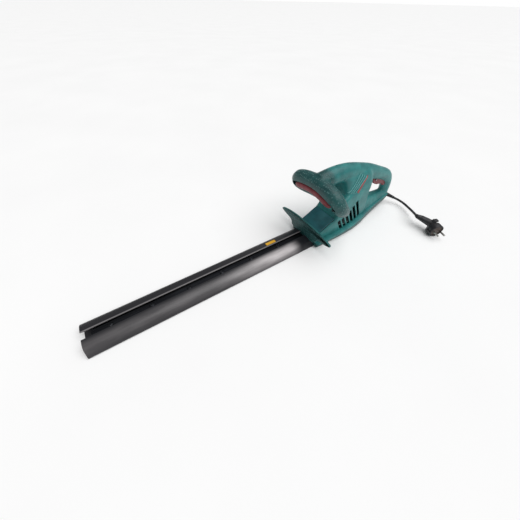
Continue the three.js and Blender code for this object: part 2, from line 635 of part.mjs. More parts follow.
for (const [name, side] of [['left', 1], ['right', -1]]) {
  const low = Math.min(side * 9.9, side * 17);
  const high = Math.max(side * 9.9, side * 17);
  const brush = place(`carbon_brush_${name}`, box(-3, 3, low, high, 117, 123), 0x2a2a2c, 0.7);
  brush.position.x = MOTOR_X;
  const holderLow = Math.min(side * 11.5, side * 20);
  const holderHigh = Math.max(side * 11.5, side * 20);
  const holder = solid(box(-5, 5, holderLow, holderHigh, 114.5, 125.5))
    .subtract(solid(box(-3.3, 3.3, Math.min(side * 10, side * 18), Math.max(side * 10, side * 18), 116.7, 123.3)));
  place(`brush_holder_${name}`, holder, BRASS, 0.4, 1).position.x = MOTOR_X;
}

// ---------------------------------------------------------------- switches and springs
place('rear_microswitch', box(-358, -338, -6, 6, 119, 127), BLACK, 0.5);
place('front_microswitch', box(-108, -92, -6, 6, 165, 173), BLACK, 0.5);
place('suppressor_capacitor', box(-262, -236, -8, 8, 70, 100), 0xcfc9a8, 0.5);

function coilSpring(bottom, height, radius, wire, turns) {
  const points = [];
  const count = turns * 8;
  for (let i = 0; i <= count; i += 1) {
    const angle = 2 * Math.PI * i / 8;
    points.push([radius * Math.cos(angle), radius * Math.sin(angle), wire + (height - 2 * wire) * i / count]);
  }
  const curve = curveThrough(points);
  const vertical = new THREE.Vector3(0, 0, 1);
  const geometry = sweep(curve, count, 5, () => vertical, () => [wire, wire]);
  return geometry.translate(...bottom);
}
place('trigger_spring', coilSpring([-368, 0, 103.2], 13, 2.6, 0.55, 4), STEEL, 0.35, 1);

// ---------------------------------------------------------------- casing screws
SCREW_PLACES.forEach(([x, z], index) => {
  const screw = solid(rod([0, -12.2, 0], [0, -9.3, 0], 3.4, 14)).add(solid(rod([0, -10, 0], [0, 9, 0], 1.7, 10)));
  place(`housing_screw_${index + 1}`, screw, STEEL, 0.35, 1).position.set(x, 0, z);
});

// ---------------------------------------------------------------- cord, sleeve and plug
const sleeveProfile = [[0, 0], [5.6, 0], [5.6, 11], [5.1, 14], [5.1, 16], [4.6, 17], [4.6, 20], [4.2, 21],
  [4.0, SLEEVE_LENGTH - GAP], [0, SLEEVE_LENGTH - GAP]];
const sleeve = new THREE.LatheGeometry(sleeveProfile.map(([r, d]) => new THREE.Vector2(r, d)), 12);
const alongSleeve = new THREE.Quaternion().setFromUnitVectors(new THREE.Vector3(0, 1, 0), SLEEVE_DIR);
sleeve.applyQuaternion(alongSleeve).translate(...sleeveRoot.toArray());
place('cord_sleeve', sleeve, BLACK, 0.6);

const CORD_ROUTE = [
  CORD_EXIT.toArray(), [-447, 32.8, 17.7], [-449.6, 40, 16.4], [-450.4, 48, 15.6], [-449.6, 56, 15.3],
  [-447, 65, 15.5], [-443, 74, 16], [-438.4, 82.6, 17], [-433, 91, 18.4], [-427.4, 99, 20], [-421, 107, 22],
  [-414.6, 114.4, 24.2], [-407.6, 122, 26.8]];
const cordCurve = curveThrough(CORD_ROUTE);
const cordRing = new THREE.Shape();
cordRing.absarc(0, 0, CORD_R, 0, 2 * Math.PI, false);
place('cord', new THREE.ExtrudeGeometry(cordRing, {
  steps: 20, extrudePath: cordCurve, curveSegments: 5, bevelEnabled: false,
}), BLACK, 0.55);

// Rewirable-style earthed plug standing on its rim, its grip towards the cord.
const plugNormal = new THREE.Vector3(
  Math.cos(THREE.MathUtils.degToRad(PLUG_AZIMUTH)), Math.sin(THREE.MathUtils.degToRad(PLUG_AZIMUTH)), 0);
const plugAt = (depth, across, up) => PLUG_FACE.clone()
  .addScaledVector(plugNormal, depth)
  .addScaledVector(new THREE.Vector3(-plugNormal.y, plugNormal.x, 0), across)
  .add(new THREE.Vector3(0, 0, up)).toArray();
const gripEnd = cordCurve.getPointAt(1).addScaledVector(cordCurve.getTangentAt(1), GAP);
const gripNeck = gripEnd.clone().addScaledVector(cordCurve.getTangentAt(1), 9);
const plugBody = union([
  solid(rod(plugAt(0, 0, 0), plugAt(-17, 0, 0), PLUG_R - 0.3, 24)),
  solid(rod(plugAt(-16.9, 0, 0), plugAt(-22, 0, 2), PLUG_R - 0.6, 20, 12)),
  solid(rod(gripEnd.toArray(), gripNeck.toArray(), 4.6, 12, 6)),
  solid(rod(gripNeck.clone().addScaledVector(cordCurve.getTangentAt(1), -1).toArray(), plugAt(-18, 0, 7), 6, 12, 10.5)),
]);
place('plug_body', plugBody, BLACK, 0.5);
for (const [name, side] of [['a', -1], ['b', 1]]) {
  place(`plug_pin_${name}`, rod(plugAt(GAP, side * 9.5, 0), plugAt(19, side * 9.5, 0), 2.4, 12), STEEL, 0.3, 1);
}
place('cord_clamp', box(-416, -406, -4, 4, 37, 43), BLACK, 0.6);

// The frame's origin is under the middle of the tool's length.
group.position.x = -MIDDLE_X;

export default group;
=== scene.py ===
import json
import math

import bmesh
import bpy
from mathutils import Matrix, Vector


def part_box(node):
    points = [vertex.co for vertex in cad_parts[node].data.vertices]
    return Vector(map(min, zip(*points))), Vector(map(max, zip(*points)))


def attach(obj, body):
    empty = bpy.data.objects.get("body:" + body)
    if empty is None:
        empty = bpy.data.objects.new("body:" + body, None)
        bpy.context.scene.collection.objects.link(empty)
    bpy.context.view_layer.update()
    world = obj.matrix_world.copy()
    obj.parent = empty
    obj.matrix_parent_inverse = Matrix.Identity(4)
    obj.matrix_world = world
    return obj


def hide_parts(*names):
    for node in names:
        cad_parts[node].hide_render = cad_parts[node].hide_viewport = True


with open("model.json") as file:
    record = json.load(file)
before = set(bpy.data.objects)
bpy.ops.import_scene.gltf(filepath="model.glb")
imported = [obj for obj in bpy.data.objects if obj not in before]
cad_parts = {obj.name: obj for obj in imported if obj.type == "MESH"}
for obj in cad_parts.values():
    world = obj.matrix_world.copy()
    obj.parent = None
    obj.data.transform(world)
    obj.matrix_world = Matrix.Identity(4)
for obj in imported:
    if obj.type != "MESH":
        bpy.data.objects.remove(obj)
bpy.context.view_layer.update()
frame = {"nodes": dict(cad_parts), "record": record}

# ------------------------------------------------------------------ sizes, in millimetres
MM = 0.001
WALL = 2.4                   # moulded casing wall
SEAM = 0.15                  # each casing half stays this far from the middle plane
VOXEL = 1.8
NOSE = -434.0                # rear end of the casing
CORD_RADIUS = 3.25
BAR_DEPTH = 18.0             # finger bar's centre under the front handle's centre
BAR_END = 0.315              # the bar's end, as a share of the front handle's length
GROOVE_END = 0.285           # the end of the groove that it moves in
TRIGGER_PIVOT = (-328.0, 111.0)

# Casing between ledge and roof: x, roof half width, roof z, foot half width.
ROOF = [
    (-100, 35, 31, 38.5), (-114, 36, 37, 39), (-162, 38, 61, 41.5), (-169, 38, 70, 41.8),
    (-179, 36, 102, 42), (-198, 34, 115, 42), (-245, 31, 119, 38), (-286, 27, 114, 32),
    (-298, 19, 66, 30.5), (-345, 13, 57, 24.5), (-380, 11.5, 55, 18.5), (-415, 11, 53.5, 13.5),
    (NOSE, 8, 46.5, 9.5),
]
# Foot of the tool: x, ledge half width, bottom half width, bottom z, ledge z.
FOOT = [
    (-100, 53, 48.5, 0, 14), (-130, 53.5, 49, 0, 15), (-175, 54.5, 49.5, 0, 17),
    (-210, 52.8, 48.7, 0, 19.2), (-240, 50.5, 47.5, 0, 21), (-280, 43, 41.5, 0.5, 25),
    (-305, 35.8, 34.6, 2, 27.2), (-328, 30.5, 29.5, 4, 29), (-350, 25.8, 24.6, 6.4, 31.2),
    (-373, 22, 20.5, 9, 33), (-408, 17, 15, 15, 35), (-428, 13, 11, 19, 35.5), (-442, 8, 6.5, 22, 34.5),
]
# Column between casing and spine: z, front x, rear x, half width.
COLUMN = [(96, -195, -292, 31), (125, -193, -292, 28.5), (146, -184, -287, 24), (166, -170, -272, 18)]
SPINE = [
    (-108, 0, 163), (-130, 0, 166), (-160, 0, 168), (-200, 0, 165), (-254, 0, 152), (-310, 0, 135.5),
    (-355, 0, 119.5), (-386, 0, 104), (-403, 0, 83), (-410, 0, 60), (-412, 0, 44),
]
HANDLE_ARM = [
    (-170, 41, 84), (-153, 55, 100), (-132, 66, 118), (-115, 69, 136), (-108, 62, 149), (-107, 46, 156),
    (-108, 24, 160),
]
HANDLE = HANDLE_ARM + [(-108, 0, 162)] + [(x, -y, z) for x, y, z in reversed(HANDLE_ARM)]
# Cooling slots, each from its foot (x, z) to its head (x, z).
VENTS = [
    ((-195, 18.5), (-176, 52)), ((-210, 19.5), (-190, 55)), ((-226, 20), (-204, 59)),
    ((-241, 21), (-215.5, 67)), ((-255.5, 23.5), (-226, 77)), ((-270, 27), (-236.5, 88)),
]
FORE_DOWN = Vector((0.498, 0, -0.867))        # the way the finger bar faces
CORD_ROUTE = [
    (-453, 26, 19.5), (-457, 32.8, 17.7), (-459.6, 40, 16.4), (-460.4, 48, 15.6), (-459.6, 56, 15.3),
    (-457, 65, 15.5), (-453, 74, 16), (-448.4, 82.6, 17), (-443, 91, 18.4), (-437.4, 99, 20),
    (-431, 107, 22), (-424.6, 114.4, 24.2), (-417.6, 122, 26.8),
]
SLEEVE_WAY = Vector((-0.5, 0.83, -0.24)).normalized()
SLEEVE_LENGTH = 30.0
PLUG_FACE = Vector((-413, 192, 18.2))
PLUG_AZIMUTH = math.radians(65)
PLUG_RADIUS = 18.2

# Camera and light; places in metres.
CAMERA_PLACE = Vector((0.2657, 0.3231, 0.4358))
CAMERA_LOOK = Vector((0.0493, 0.0046, 0.0))
CAMERA_ROLL = math.radians(1.346)
CAMERA_LENS = 15.92
SENSOR_WIDTH = 36
ROOM_LIGHT = 0.27            # glow of the white room; seen directly it is plain white
SOFTBOX_LIGHT = 2.5
SOFTBOX_WIDTH = math.radians(75)
SOFTBOX_WAY = Vector((0.26, -0.30, -1.0))
FLOOR_SIZE = 400


# ------------------------------------------------------------------ modelling helpers
def mm(*values):
    return tuple(v * MM for v in values)


def start():
    """Nothing selected, so that an operator acts only on what is made next."""
    if bpy.context.object and bpy.context.object.mode != "OBJECT":
        bpy.ops.object.mode_set(mode="OBJECT")
    bpy.ops.object.select_all(action="DESELECT")


def name_it(name):
    piece = bpy.context.object
    piece.name = name
    piece.data.name = name
    return piece


def settle(piece):
    """Puts the object's place into its mesh."""
    only(piece)
    bpy.ops.object.transform_apply(location=True, rotation=True, scale=True)
    return piece


def only(piece):
    start()
    bpy.context.view_layer.objects.active = piece
    piece.select_set(True)


def pick(piece, test, kind="VERT"):
    """Selects, in edit mode, what the test says."""
    bpy.ops.mesh.select_mode(type=kind)
    bpy.ops.mesh.select_all(action="DESELECT")
    mesh = bmesh.from_edit_mesh(piece.data)
    items = {"VERT": mesh.verts, "EDGE": mesh.edges, "FACE": mesh.faces}[kind]
    for item in items:
        item.select = test(item)
    mesh.select_flush_mode()
    bmesh.update_edit_mesh(piece.data)


def modify(piece, kind, **settings):
    only(piece)
    modifier = piece.modifiers.new(kind.title(), kind)
    for key, value in settings.items():
        setattr(modifier, key, value)
    bpy.ops.object.modifier_apply(modifier=modifier.name)
    return piece


def soften(piece, width, segments, degrees):
    """Rounds the edges that turn by more than the angle."""
    return modify(piece, "BEVEL", width=width * MM, segments=segments, limit_method="ANGLE",
                  angle_limit=math.radians(degrees))


def smooth(piece, degrees=35):
    only(piece)
    bpy.ops.object.shade_smooth_by_angle(angle=math.radians(degrees))
    return piece


def fix_normals(piece):
    only(piece)
    bpy.ops.object.mode_set(mode="EDIT")
    bpy.ops.mesh.select_all(action="SELECT")
    bpy.ops.mesh.remove_doubles(threshold=1e-6)
    bpy.ops.mesh.normals_make_consistent(inside=False)
    bpy.ops.object.mode_set(mode="OBJECT")
    return piece


def copy_of(piece, name):
    only(piece)
    bpy.ops.object.duplicate()
    return name_it(name)


def join(name, *pieces):
    only(pieces[0])
    for piece in pieces:
        piece.select_set(True)
    bpy.ops.object.join()
    return name_it(name)


def drop(*pieces):
    start()
    for piece in pieces:
        piece.select_set(True)
    bpy.ops.object.delete()


def cut(piece, tool, how="DIFFERENCE"):
    """Takes tool away from piece, or keeps what they share; both are closed meshes."""
    modify(piece, "BOOLEAN", operation=how, object=tool, solver="MANIFOLD")
    drop(tool)
    return piece


def box(name, x0, x1, y0, y1, z0, z1, bevel=0.0, segments=3):
    start()
    bpy.ops.mesh.primitive_cube_add(
        size=1, location=mm((x0 + x1) / 2, (y0 + y1) / 2, (z0 + z1) / 2),
        scale=mm(x1 - x0, y1 - y0, z1 - z0))
    piece = settle(name_it(name))
    if bevel:
        modify(piece, "BEVEL", width=bevel * MM, segments=segments)
    return piece


def towards(way):
    """Turn that points an object's own Z along way, with its own X level."""
    back = Vector(way).normalized()
    across = Vector((0, 0, 1)).cross(back)
    if across.length < 1e-4:
        across = Vector((0, 1, 0))
    across.normalize()
    return Matrix((across, back.cross(across), back)).transposed().to_euler()


def rod(name, a, b, radius, end_radius=None, vertices=48):
    a, b = Vector(a) * MM, Vector(b) * MM
    start()
    bpy.ops.mesh.primitive_cone_add(
        vertices=vertices, radius1=radius * MM, radius2=(radius if end_radius is None else end_radius) * MM,
        depth=(b - a).length, location=(a + b) / 2, rotation=towards(b - a))
    return settle(name_it(name))


def cage(name, stations, axis):
    """A bar bisected at its stations, whose four corners are then moved at each one.
    A station is (place along axis, {corner: (u, v)}) with corners (-1|1, -1|1)."""
    lo, hi = stations[-1][0], stations[0][0]
    turn = {"x": lambda s, u, v: (s, u, v), "z": lambda s, u, v: (u, v, s)}[axis]
    start()
    bpy.ops.mesh.primitive_cube_add(
        size=1, location=mm(*turn((lo + hi) / 2, 0, 0)), scale=mm(*turn(hi - lo, 2, 2)))
    piece = settle(name_it(name))
    bpy.ops.object.mode_set(mode="EDIT")
    for place, _ in stations[1:-1]:
        bpy.ops.mesh.select_all(action="SELECT")
        bpy.ops.mesh.bisect(plane_co=mm(*turn(place, 0, 0)), plane_no=turn(1, 0, 0))
    along = 0 if axis == "x" else 2
    u_axis, v_axis = (1, 2) if axis == "x" else (0, 1)
    for place, corners in stations:
        for (su, sv), (u, v) in corners.items():
            pick(piece, lambda vert: abs(vert.co[along] - place * MM) < 1e-5
                 and vert.co[u_axis] * su > 0 and abs(vert.co[u_axis]) < 1.01 * MM
                 and vert.co[v_axis] * sv > 0 and abs(vert.co[v_axis]) < 1.01 * MM)
            move = [0, 0, 0]
            move[u_axis] = (u - su) * MM
            move[v_axis] = (v - sv) * MM
            bpy.ops.transform.translate(value=move)
    bpy.ops.object.mode_set(mode="OBJECT")
    return piece


def tube(name, rings, sides=32):
    """Oval rings, each (centre, way, across, half across, half other), bridged one to the next and capped."""
    start()
    for index, (centre, way, across, wide, tall) in enumerate(rings):
        way = way.normalized()
        across = (across - way * across.dot(way)).normalized()
        axes = Matrix((across, way.cross(across), way))
        middle = Vector(centre) * MM
        bpy.ops.mesh.primitive_circle_add(
            vertices=sides, radius=MM, location=middle, rotation=axes.transposed().to_euler())
        if index == 0:
            piece = settle(name_it(name))
            bpy.ops.object.mode_set(mode="EDIT")
            bpy.ops.mesh.select_all(action="SELECT")
        bpy.ops.transform.resize(
            value=(wide, tall, 1), orient_type="GLOBAL", orient_matrix_type="GLOBAL",
            orient_matrix=tuple(tuple(axis) for axis in axes), center_override=middle)
    for index in range(len(rings) - 1):
        low, high = index * sides, (index + 2) * sides
        pick(piece, lambda edge: all(low <= v.index < high for v in edge.verts), "EDGE")
        bpy.ops.mesh.bridge_edge_loops()
    for low in (0, (len(rings) - 1) * sides):
        pick(piece, lambda edge: all(low <= v.index < low + sides for v in edge.verts), "EDGE")
        bpy.ops.mesh.edge_face_add()
    bpy.ops.object.mode_set(mode="OBJECT")
    return fix_normals(piece)


def outline(name, points, depth, centre, turn, bevel=0.0, smooth_points=True):
    """A flat closed curve given its thickness along its own Z, then made a mesh and settled in place."""
    start()
    data = bpy.data.curves.new(name, "CURVE")
    data.dimensions = "2D"
    data.fill_mode = "BOTH"
    data.resolution_u = 6
    line = data.splines.new("BEZIER")
    line.bezier_points.add(len(points) - 1)
    line.use_cyclic_u = True
    for knot, (u, v) in zip(line.bezier_points, points):
        knot.co = (u * MM, v * MM, 0)
        knot.handle_left_type = knot.handle_right_type = "AUTO" if smooth_points else "VECTOR"
    data.extrude = (depth / 2 - bevel) * MM
    data.bevel_depth = bevel * MM
    data.bevel_resolution = 2
    data.offset = -bevel * MM
    piece = bpy.data.objects.new(name, data)
    bpy.context.scene.collection.objects.link(piece)
    piece.matrix_world = Matrix.Translation(Vector(centre) * MM) @ turn.to_4x4()
    only(piece)
    bpy.ops.object.convert(target="MESH")
    settle(piece)
    return fix_normals(piece)


FACING_X = Matrix(((0, 0, 1), (1, 0, 0), (0, 1, 0)))     # own X to +Y, own Y to +Z, own Z to +X
FACING_Y = Matrix(((1, 0, 0), (0, 0, -1), (0, 1, 0)))    # own X to +X, own Y to +Z, own Z to -Y


def through(points, count):
    """Evenly many places on a smooth curve through the points, with the way it runs at each."""
    p = [Vector(q) for q in points]
    p = [2 * p[0] - p[1], *p, 2 * p[-1] - p[-2]]
    line = []
    for i in range(1, len(p) - 2):
        for step in range(12):
            t = step / 12
            line.append(0.5 * (2 * p[i] + (p[i + 1] - p[i - 1]) * t
                               + (2 * p[i - 1] - 5 * p[i] + 4 * p[i + 1] - p[i + 2]) * t ** 2
                               + (3 * p[i] - p[i - 1] - 3 * p[i + 1] + p[i + 2]) * t ** 3))
    line.append(p[-2])
    lengths = [0.0]
    for a, b in zip(line, line[1:]):
        lengths.append(lengths[-1] + (b - a).length)
    found = []
    for k in range(count):
        goal = lengths[-1] * k / (count - 1)
        i = max(j for j in range(len(line) - 1) if lengths[j] <= goal + 1e-9)
        share = (goal - lengths[i]) / (lengths[i + 1] - lengths[i])
        way = (line[i + 1] - line[i]).normalized()
        found.append((k / (count - 1), line[i].lerp(line[i + 1], share), way))
    return found


# ------------------------------------------------------------------ material helpers
PIP_AREA_SHADE = 0.70                 # share of painted shade over the pipped region
PIP_HIGHLIGHT = 0.36                  # share of painted highlight on the pips' tops


def colour(hex_code):
    """sRGB hex to a linear colour."""
    parts = [int(hex_code[i:i + 2], 16) / 255 for i in (1, 3, 5)]
    return tuple(c / 12.92 if c <= 0.04045 else ((c + 0.055) / 1.055) ** 2.4 for c in parts) + (1.0,)


def add(tree, kind, sockets=None, **settings):
    """One node with its settings; a socket given another node's output is linked to it."""
    node = tree.nodes.new("ShaderNode" + kind)
    for key, value in settings.items():
        setattr(node, key, value)
    for key, value in (sockets or {}).items():
        if isinstance(value, bpy.types.NodeSocket):
            tree.links.new(value, node.inputs[key])
        else:
            node.inputs[key].default_value = value
    return node


def new_material(name):
    made = bpy.data.materials.new(name)
    made.use_nodes = True
    tree = made.node_tree
    tree.nodes.clear()
    place = add(tree, "TexCoord").outputs["Object"]
    return made, tree, place


def close_material(tree, shader):
    add(tree, "OutputMaterial", {"Surface": shader.outputs["BSDF"]})


def blotches(tree, place, size_mm, detail=3.0):
    """Noise whose patches are about size_mm across."""
    noise = add(tree, "TexNoise", {"Vector": place, "Scale": 1 / (size_mm * MM), "Detail": detail})
    return noise.outputs["Fac"]


def times(tree, a, b):
    return add(tree, "Math", {0: a, 1: b}, operation="MULTIPLY").outputs["Value"]


def eased(tree, value, start_at, end_at, low=0.0, high=1.0, curve="LINEAR"):
    """Runs from low to high as value goes from start_at to end_at."""
    node = add(tree, "MapRange", {
        "Value": value, "From Min": start_at, "From Max": end_at, "To Min": low, "To Max": high},
        interpolation_type=curve)
    return node.outputs["Result"]


def between(tree, amount, low, high, dark, light):
    """Runs from one colour to the other as amount goes from low to high."""
    ramp = add(tree, "ValToRGB", {"Fac": amount})
    ramp.color_ramp.elements[0].position = low
    ramp.color_ramp.elements[0].color = dark
    ramp.color_ramp.elements[1].position = high
    ramp.color_ramp.elements[1].color = light
    return ramp.outputs["Color"]


def moulded_plastic(name, dark, light, roughness, grain_mm=1.3, grain_depth_mm=0.05, pips=None):
    """Injection-moulded plastic with a fine spark-eroded grain. Its real grain is about 0.1 mm;
    it is drawn coarser so that it shows. Raised grip pips are (pitch mm, height mm, where they are); where
    they are, painted shade darkens the surface and a painted highlight lightens the pips' tops."""
    made, tree, place = new_material(name)
    tone = between(tree, blotches(tree, place, 22), 0.32, 0.68, colour(dark), colour(light))
    fine = blotches(tree, place, grain_mm, 2.0)
    speck = between(tree, fine, 0.35, 0.65, (0.90, 0.90, 0.90, 1), (1.08, 1.08, 1.08, 1))
    base = add(tree, "MixRGB", {"Fac": 1.0, "Color1": tone, "Color2": speck}, blend_type="MULTIPLY")
    shine = eased(tree, blotches(tree, place, 9), 0.3, 0.7, roughness - 0.06, roughness + 0.06)
    relief = add(tree, "Bump", {"Height": fine, "Strength": 0.55, "Distance": grain_depth_mm * MM})
    if pips:
        pitch, height, where = pips
        cells = add(tree, "TexVoronoi", {"Vector": place, "Scale": 1 / (pitch * MM), "Randomness": 0.35})
        dome = eased(tree, cells.outputs["Distance"], 0.42, 0.12, curve="SMOOTHSTEP")
        pip_and_shade_area = where(tree, place)
        shown = times(tree, dome, pip_and_shade_area)
        # Painted shade: the pipped region is darkened towards a dark teal.
        base = add(tree, "MixRGB", {
            "Fac": times(tree, pip_and_shade_area, PIP_AREA_SHADE), "Color1": base.outputs["Color"], "Color2": colour("#0e2c2c")})
        relief = add(tree, "Bump", {
            "Height": shown, "Strength": 1.0, "Distance": height * MM, "Normal": relief.outputs["Normal"]})
        # Painted highlight: the pips' tops are lightened towards a pale teal.
        base = add(tree, "MixRGB", {
            "Fac": times(tree, shown, PIP_HIGHLIGHT), "Color1": base.outputs["Color"], "Color2": colour("#6fa3a2")})
    close_material(tree, add(tree, "BsdfPrincipled", {
        "Base Color": base.outputs["Color"], "Roughness": shine, "IOR": 1.46,
        "Normal": relief.outputs["Normal"]}))
    return made


def on_front_handle(tree, place):
    """One on the front handle's grip, where painted shade darkens it and the pips stand; nothing elsewhere.
    """
    parts = add(tree, "SeparateXYZ", {"Vector": place}).outputs
    off_centre = add(tree, "Math", {0: parts["Y"]}, operation="ABSOLUTE").outputs["Value"]
    swept = add(tree, "Math", {0: off_centre, 1: 0.45, 2: parts["X"]}, operation="MULTIPLY_ADD")
    ahead = eased(tree, swept.outputs["Value"], -0.142, -0.118, curve="SMOOTHSTEP")
    above = eased(tree, parts["Z"], 0.098, 0.108)
    return times(tree, ahead, above)


def on_guard_face(tree, place):
    """One on the hand guard's front face, which painted shade darkens and pips cover; nothing on its edge and
    back.
    """
    parts = add(tree, "SeparateXYZ", {"Vector": place}).outputs
    return eased(tree, parts["X"], -0.0915, -0.0907)


def metal(name, dark, light, roughness, scratch_mm=(60, 0.8, 0.8), depth_mm=0.01):
    """Bare metal; its scratches are longest along the piece."""
    made, tree, place = new_material(name)
    stretched = add(tree, "Mapping", {"Vector": place, "Scale": tuple(1 / (s * MM) for s in scratch_mm)})
    scratches = add(tree, "TexNoise", {"Vector": stretched.outputs["Vector"], "Scale": 1.0, "Detail": 4.0})
    lines = scratches.outputs["Fac"]
    tone = between(tree, lines, 0.35, 0.65, colour(dark), colour(light))
    shine = eased(tree, lines, 0.3, 0.7, roughness - 0.07, roughness + 0.09)
    marks = add(tree, "Bump", {"Height": lines, "Strength": 0.4, "Distance": depth_mm * MM})
    close_material(tree, add(tree, "BsdfPrincipled", {
        "Base Color": tone, "Metallic": 1.0, "Roughness": shine, "Normal": marks.outputs["Normal"]}))
    return made


def handled_sheath_plastic():
    """Extruded black channel, satin, with pale dust and a painted reflection along the near side's middle,
    painted shade towards its bottom, and a painted highlight along the far lip's slot edge.
    """
    made, tree, place = new_material("extruded_black_pvc")
    parts = add(tree, "SeparateXYZ", {"Vector": place}).outputs
    along, across, up = parts["X"], parts["Y"], parts["Z"]
    streaks = add(tree, "Mapping", {"Vector": place, "Scale": (14, 90, 90)})
    streaky = add(tree, "TexNoise", {"Vector": streaks.outputs["Vector"], "Scale": 1.0, "Detail": 5.0})
    streak = streaky.outputs["Fac"]
    # Pale dust and a painted reflection, fading towards the tip and the guard.
    dust_and_reflection_along = times(tree, eased(tree, along, 0.20, -0.02, 0.15, curve="SMOOTHSTEP"),
                  eased(tree, along, -0.065, -0.03, curve="SMOOTHSTEP"))
    # Near side only, with painted shade: the paleness fades towards the bottom.
    near_side_with_low_shade = times(tree, eased(tree, across, 0.008, 0.022, 0.02, curve="SMOOTHSTEP"),
                  eased(tree, up, 0.003, 0.015, 0.12))
    dust_and_reflection = times(tree, times(tree, dust_and_reflection_along, near_side_with_low_shade), eased(tree, streak, 0.3, 0.7, 0.6, 1.15))
    # Painted highlight: a pale line along the far lip's slot edge.
    lip_highlight_band = times(tree, eased(tree, across, -0.0112, -0.0096, 0.0, 0.30),
                     eased(tree, across, -0.007, -0.006, 1.0, 0.0))
    painted_lip_highlight = times(tree, lip_highlight_band, eased(tree, up, 0.014, 0.017))
    amount = add(tree, "Math", {0: dust_and_reflection, 1: painted_lip_highlight}, operation="MAXIMUM").outputs["Value"]
    # The pale colour serves the dust, the painted reflection and the painted highlight.
    tone = between(tree, amount, 0.0, 1.0, colour("#1f1f23"), colour("#c4bfc0"))
    shine = eased(tree, streak, 0.3, 0.7, 0.30, 0.42)
    ripple = add(tree, "Bump", {"Height": streak, "Strength": 0.35, "Distance": 0.06 * MM})
    close_material(tree, add(tree, "BsdfPrincipled", {
        "Base Color": tone, "Roughness": shine, "IOR": 1.5, "Normal": ripple.outputs["Normal"]}))
    return made


def dress(piece, finish):
    piece.data.materials.clear()
    piece.data.materials.append(finish)
    return piece


# The front handle's grip gets painted shade over its pips, and a painted highlight on their tops.
GREEN_ABS = moulded_plastic("moulded_teal_abs", "#22696a", "#318583", 0.40, grain_depth_mm=0.09,
                            pips=(5.2, 0.9, on_front_handle))
DECK_ABS = moulded_plastic("moulded_blue_teal_abs", "#1d5a63", "#29727a", 0.40)
# The guard's front face is darkened with painted shade; its upward edge keeps the lighter green.
GUARD_ABS = moulded_plastic("moulded_guard_abs", "#226564", "#2f7a79", 0.42, pips=(6.5, 0.7, on_guard_face))
# The tray is made darker than the casing as painted shade on its lower sides.
SHADED_TRAY_ABS = moulded_plastic("tray_teal_abs_darkened_as_shade", "#154443", "#1c5453", 0.44)
# Paler teal on the raised ribs is a painted highlight.
RIB_ABS = moulded_plastic("rib_teal_abs_painted_highlight", "#4d8f8e", "#65a8a6", 0.36, grain_depth_mm=0.03)
RED_ABS = moulded_plastic("moulded_dark_red_abs", "#6c262b", "#863b41", 0.42)
TRIM_RED = moulded_plastic("printed_red_stripe", "#8c2f33", "#a34444", 0.38, grain_depth_mm=0.03)
SHEATH_PVC = handled_sheath_plastic()
BLACK_PVC = moulded_plastic("moulded_black_pvc", "#1c1c1f", "#2a2a2e", 0.42)
INSERT_PLASTIC = moulded_plastic("pressed_brown_insert", "#4b403b", "#5a4e48", 0.5)
CORD_PVC = moulded_plastic("extruded_cord_pvc", "#17171a", "#232327", 0.40, grain_mm=3.0, grain_depth_mm=0.03)
YELLOW_FILM = moulded_plastic("plain_yellow_film", "#d39a1d", "#e6b53a", 0.33, grain_depth_mm=0.02)
NYLON = moulded_plastic("moulded_cream_nylon", "#cdbf98", "#ddd1ae", 0.45)
CARBON = moulded_plastic("pressed_carbon", "#1b1b1c", "#2b2b2d", 0.6)
CAPACITOR_BOX = moulded_plastic("moulded_capacitor_box", "#b8ae84", "#cbc29c", 0.5)
# The blade steel is darkened as painted shade inside the sheath's slot.
SLOT_SHADED_BLADE_STEEL = metal("blade_steel_darkened_as_slot_shade", "#1c1d20", "#34363a", 0.44)
# The blade bolts' dark steel is painted shade inside the sheath's slot.
SLOT_SHADED_BOLT_STEEL = metal("bolt_steel_darkened_as_slot_shade", "#26272a", "#3d3f43", 0.34, (3, 3, 3))
SCREW_STEEL = metal("zinc_plated_steel", "#85888c", "#b5b8bb", 0.30, (3, 3, 3))
SHAFT_STEEL = metal("ground_shaft_steel", "#8c8f93", "#bcbfc2", 0.22, (2, 2, 20))
CAST_ALLOY = metal("die_cast_alloy", "#85878a", "#a5a7a9", 0.48, (4, 4, 4), 0.05)
BRONZE = metal("sintered_bronze", "#7b5a2c", "#a17f45", 0.42, (2, 2, 2))
WINDING = metal("varnished_copper_winding", "#8c4a24", "#b4693a", 0.35, (0.9, 0.9, 30), 0.12)
LAMINATION = metal("stacked_iron_laminations", "#4a4b4d", "#6a6c6e", 0.5, (60, 60, 0.8), 0.08)
NICKEL = metal("nickel_plated_brass", "#8f8f8c", "#c2c1bc", 0.20, (3, 3, 3))

SLOT_FINISH = {
    "green_plastic": GREEN_ABS, "deck_plastic": DECK_ABS, "red_plastic": RED_ABS,
    "sheath_plastic": SHEATH_PVC,
    "yellow_patch": YELLOW_FILM, "blade_steel": SLOT_SHADED_BLADE_STEEL, "fastener_steel": SCREW_STEEL,
    "cast_alloy": CAST_ALLOY, "gear_nylon": NYLON, "shaft_steel": SHAFT_STEEL, "bush_bronze": BRONZE,
    "copper_winding": WINDING, "field_iron": LAMINATION, "black_plastic": BLACK_PVC, "carbon": CARBON,
    "capacitor_film": CAPACITOR_BOX, "cord_rubber": CORD_PVC, "plated_brass": NICKEL,
}
SLOT_OF = {row["node"]: row["material_slot"] for row in frame["record"]["subparts"]}
for node_name, node_object in frame["nodes"].items():
    # The blade bolts get the darker steel as painted shade in the slot.
    in_shaded_slot = node_name.startswith("blade_bolt")
    dress(node_object, SLOT_SHADED_BOLT_STEEL if in_shaded_slot else SLOT_FINISH[SLOT_OF[node_name]])


def place_piece(piece, body, slot, finish, *stands_for):
    dress(piece, finish)
    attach(piece, body)
    if stands_for:
        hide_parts(*stands_for)
    return piece


